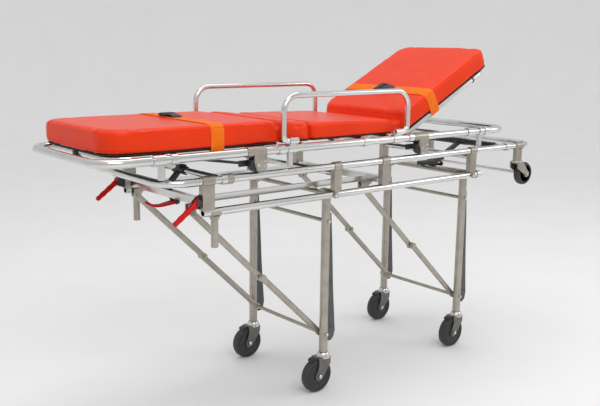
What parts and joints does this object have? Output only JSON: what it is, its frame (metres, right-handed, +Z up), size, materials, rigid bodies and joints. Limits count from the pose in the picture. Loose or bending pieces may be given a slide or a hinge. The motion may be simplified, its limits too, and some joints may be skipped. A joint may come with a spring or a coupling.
{
  "type": "ambulance stretcher trolley",
  "caption": "Stretcher with a raised backrest and folding side rails on a two-tier undercarriage with folding braced legs, swivel casters and loading wheels.",
  "frame": {"origin": "middle of the bounding box's footprint, on the floor", "axes": "+X towards the head end, +Y towards the far side, +Z up"},
  "size_m": [2.112, 0.558, 1.2756],
  "materials": {
    "polished_alloy": "polished tube",
    "satin_alloy": "satin, warm grey",
    "dark_metal": "dark, half gloss",
    "guard_grey": "matt dark grey",
    "caster_metal": "satin grey-brown",
    "tyre_grey": "solid tyre, dark grey",
    "vinyl_orange": "smooth wipe-clean vinyl cover over foam",
    "webbing_orange": "woven webbing",
    "control_red": "red coating"
  },
  "bodies": {
    "chassis": {"mid_rails": "polished_alloy", "mid_bows": "polished_alloy", "low_rails": "polished_alloy", "rail_blocks": "satin_alloy", "guide_bars": "polished_alloy", "chassis_cross_tubes": "polished_alloy", "pivot_shafts": "satin_alloy", "brace_anchors": "satin_alloy", "rest_stubs": "satin_alloy", "lever_brackets": "dark_metal", "foot_lock": "dark_metal", "head_lock": "dark_metal", "loading_forks": "satin_alloy", "loading_axle": "polished_alloy"},
    "stretcher": {"top_rails": "polished_alloy", "top_bows": "polished_alloy", "rail_sleeves": "polished_alloy", "stretcher_cross_tubes": "polished_alloy", "stretcher_posts": "polished_alloy", "wheel_brackets": "satin_alloy", "wheel_struts": "dark_metal", "side_rail_brackets": "polished_alloy", "back_pivots": "polished_alloy", "hip_pad": "vinyl_orange", "seat_pad": "vinyl_orange"},
    "leg_rest": {"leg_frame": "polished_alloy", "leg_pad": "vinyl_orange", "leg_strap": "webbing_orange"},
    "backrest": {"back_frame": "polished_alloy", "back_pad": "vinyl_orange", "back_strap": "webbing_orange"},
    "side_rail_near": {"side_rail_near": "polished_alloy"},
    "side_rail_far": {"side_rail_far": "polished_alloy"},
    "foot_legs": {"foot_leg_tubes": "satin_alloy", "foot_leg_bars": "satin_alloy", "foot_guards": "guard_grey"},
    "head_legs": {"head_leg_tubes": "satin_alloy", "head_leg_bars": "satin_alloy", "head_guards": "guard_grey"},
    "foot_brace_upper": {"foot_brace_upper": "satin_alloy"},
    "foot_brace_lower": {"foot_brace_lower": "satin_alloy"},
    "head_brace_upper": {"head_brace_upper": "satin_alloy"},
    "head_brace_lower": {"head_brace_lower": "satin_alloy"},
    "caster_fork_foot_near": {"caster_fork_foot_near": "caster_metal"},
    "caster_wheel_foot_near": {"caster_wheel_foot_near": "tyre_grey"},
    "guide_wheel_foot_near": {"guide_wheel_foot_near": "tyre_grey"},
    "caster_fork_foot_far": {"caster_fork_foot_far": "caster_metal"},
    "caster_wheel_foot_far": {"caster_wheel_foot_far": "tyre_grey"},
    "guide_wheel_foot_far": {"guide_wheel_foot_far": "tyre_grey"},
    "caster_fork_head_near": {"caster_fork_head_near": "caster_metal"},
    "caster_wheel_head_near": {"caster_wheel_head_near": "tyre_grey"},
    "guide_wheel_head_near": {"guide_wheel_head_near": "tyre_grey"},
    "caster_fork_head_far": {"caster_fork_head_far": "caster_metal"},
    "caster_wheel_head_far": {"caster_wheel_head_far": "tyre_grey"},
    "guide_wheel_head_far": {"guide_wheel_head_far": "tyre_grey"},
    "loading_wheel_near": {"loading_wheel_near": "tyre_grey"},
    "release_lever_near": {"release_lever_near": "control_red"},
    "loading_wheel_far": {"loading_wheel_far": "tyre_grey"},
    "release_lever_far": {"release_lever_far": "control_red"},
    "lock_handle": {"lock_handle": "control_red"}
  },
  "joints": [
    {"name": "stretcher_lift", "type": "slide", "parent": "chassis", "child": "stretcher", "axis": [0, 0, 1], "range_m": [0, 0.25]},
    {"name": "leg_rest_tilt", "type": "hinge", "parent": "stretcher", "child": "leg_rest", "pos_m": [-0.383, 0, 0.938], "axis": [0, 1, 0], "range_deg": [0, 18]},
    {"name": "backrest_tilt", "type": "hinge", "parent": "stretcher", "child": "backrest", "pos_m": [0.25, 0, 0.937], "axis": [0, -1, 0], "range_deg": [-27.5, 42.5]},
    {"name": "side_rail_near_fold", "type": "hinge", "parent": "stretcher", "child": "side_rail_near", "pos_m": [0, -0.266, 0.958], "axis": [1, 0, 0], "range_deg": [0, 140]},
    {"name": "side_rail_far_fold", "type": "hinge", "parent": "stretcher", "child": "side_rail_far", "pos_m": [0, 0.266, 0.958], "axis": [-1, 0, 0], "range_deg": [0, 140]},
    {"name": "foot_legs_fold", "type": "hinge", "parent": "chassis", "child": "foot_legs", "pos_m": [-0.142, 0, 0.75], "axis": [0, 1, 0], "range_deg": [0, 84]},
    {"name": "head_legs_fold", "type": "hinge", "parent": "chassis", "child": "head_legs", "pos_m": [0.628, 0, 0.75], "axis": [0, 1, 0], "range_deg": [0, 84]},
    {"name": "foot_brace_upper_fold", "type": "hinge", "parent": "chassis", "child": "foot_brace_upper", "pos_m": [-0.692, 0, 0.744], "axis": [0, 1, 0], "range_deg": [-42, 0]},
    {"name": "foot_brace_lower_fold", "type": "hinge", "parent": "foot_legs", "child": "foot_brace_lower", "pos_m": [-0.142, 0, 0.218], "axis": [0, 1, 0], "range_deg": [0, 49]},
    {"name": "head_brace_upper_fold", "type": "hinge", "parent": "chassis", "child": "head_brace_upper", "pos_m": [0.078, 0, 0.744], "axis": [0, 1, 0], "range_deg": [-42, 0]},
    {"name": "head_brace_lower_fold", "type": "hinge", "parent": "head_legs", "child": "head_brace_lower", "pos_m": [0.628, 0, 0.218], "axis": [0, 1, 0], "range_deg": [0, 49]},
    {"name": "caster_swivel_foot_near", "type": "hinge", "parent": "foot_legs", "child": "caster_fork_foot_near", "pos_m": [-0.142, -0.218, 0.14], "axis": [0, 0, 1], "continuous": true},
    {"name": "caster_roll_foot_near", "type": "hinge", "parent": "caster_fork_foot_near", "child": "caster_wheel_foot_near", "pos_m": [-0.174, -0.218, 0.0635], "axis": [0, 1, 0], "continuous": true},
    {"name": "caster_swivel_foot_far", "type": "hinge", "parent": "foot_legs", "child": "caster_fork_foot_far", "pos_m": [-0.142, 0.218, 0.14], "axis": [0, 0, 1], "continuous": true},
    {"name": "caster_roll_foot_far", "type": "hinge", "parent": "caster_fork_foot_far", "child": "caster_wheel_foot_far", "pos_m": [-0.174, 0.218, 0.0635], "axis": [0, 1, 0], "continuous": true},
    {"name": "caster_swivel_head_near", "type": "hinge", "parent": "head_legs", "child": "caster_fork_head_near", "pos_m": [0.628, -0.218, 0.14], "axis": [0, 0, 1], "continuous": true},
    {"name": "caster_roll_head_near", "type": "hinge", "parent": "caster_fork_head_near", "child": "caster_wheel_head_near", "pos_m": [0.596, -0.218, 0.0635], "axis": [0, 1, 0], "continuous": true},
    {"name": "caster_swivel_head_far", "type": "hinge", "parent": "head_legs", "child": "caster_fork_head_far", "pos_m": [0.628, 0.218, 0.14], "axis": [0, 0, 1], "continuous": true},
    {"name": "caster_roll_head_far", "type": "hinge", "parent": "caster_fork_head_far", "child": "caster_wheel_head_far", "pos_m": [0.596, 0.218, 0.0635], "axis": [0, 1, 0], "continuous": true},
    {"name": "guide_roll_foot_near", "type": "hinge", "parent": "stretcher", "child": "guide_wheel_foot_near", "pos_m": [-0.49, -0.252, 0.8875], "axis": [0, 1, 0], "continuous": true},
    {"name": "guide_roll_foot_far", "type": "hinge", "parent": "stretcher", "child": "guide_wheel_foot_far", "pos_m": [-0.49, 0.252, 0.8875], "axis": [0, 1, 0], "continuous": true},
    {"name": "guide_roll_head_near", "type": "hinge", "parent": "stretcher", "child": "guide_wheel_head_near", "pos_m": [0.303, -0.252, 0.8875], "axis": [0, 1, 0], "continuous": true},
    {"name": "guide_roll_head_far", "type": "hinge", "parent": "stretcher", "child": "guide_wheel_head_far", "pos_m": [0.303, 0.252, 0.8875], "axis": [0, 1, 0], "continuous": true},
    {"name": "loading_roll_near", "type": "hinge", "parent": "chassis", "child": "loading_wheel_near", "pos_m": [0.999, -0.252, 0.724], "axis": [0, 1, 0], "continuous": true},
    {"name": "loading_roll_far", "type": "hinge", "parent": "chassis", "child": "loading_wheel_far", "pos_m": [0.999, 0.252, 0.724], "axis": [0, 1, 0], "continuous": true},
    {"name": "release_lever_near_squeeze", "type": "hinge", "parent": "chassis", "child": "release_lever_near", "pos_m": [-0.718, -0.258, 0.788], "axis": [0, 1, 0], "range_deg": [0, 25], "stiffness_Nm_per_rad": 2, "springref_deg": -11.46},
    {"name": "release_lever_far_squeeze", "type": "hinge", "parent": "chassis", "child": "release_lever_far", "pos_m": [-0.718, 0.258, 0.788], "axis": [0, 1, 0], "range_deg": [0, 25], "stiffness_Nm_per_rad": 2, "springref_deg": -11.46},
    {"name": "lock_handle_pull", "type": "hinge", "parent": "chassis", "child": "lock_handle", "pos_m": [-0.64, 0, 0.744], "axis": [0, 1, 0], "range_deg": [0, 15], "stiffness_Nm_per_rad": 2, "springref_deg": -11.46}
  ],
  "couplings": [
    {"joint": "foot_brace_upper_fold", "follows": "foot_legs_fold", "ratio": -0.48479},
    {"joint": "foot_brace_lower_fold", "follows": "foot_legs_fold", "ratio": 0.56859},
    {"joint": "head_brace_upper_fold", "follows": "head_legs_fold", "ratio": -0.48479},
    {"joint": "head_brace_lower_fold", "follows": "head_legs_fold", "ratio": 0.56859}
  ]
}
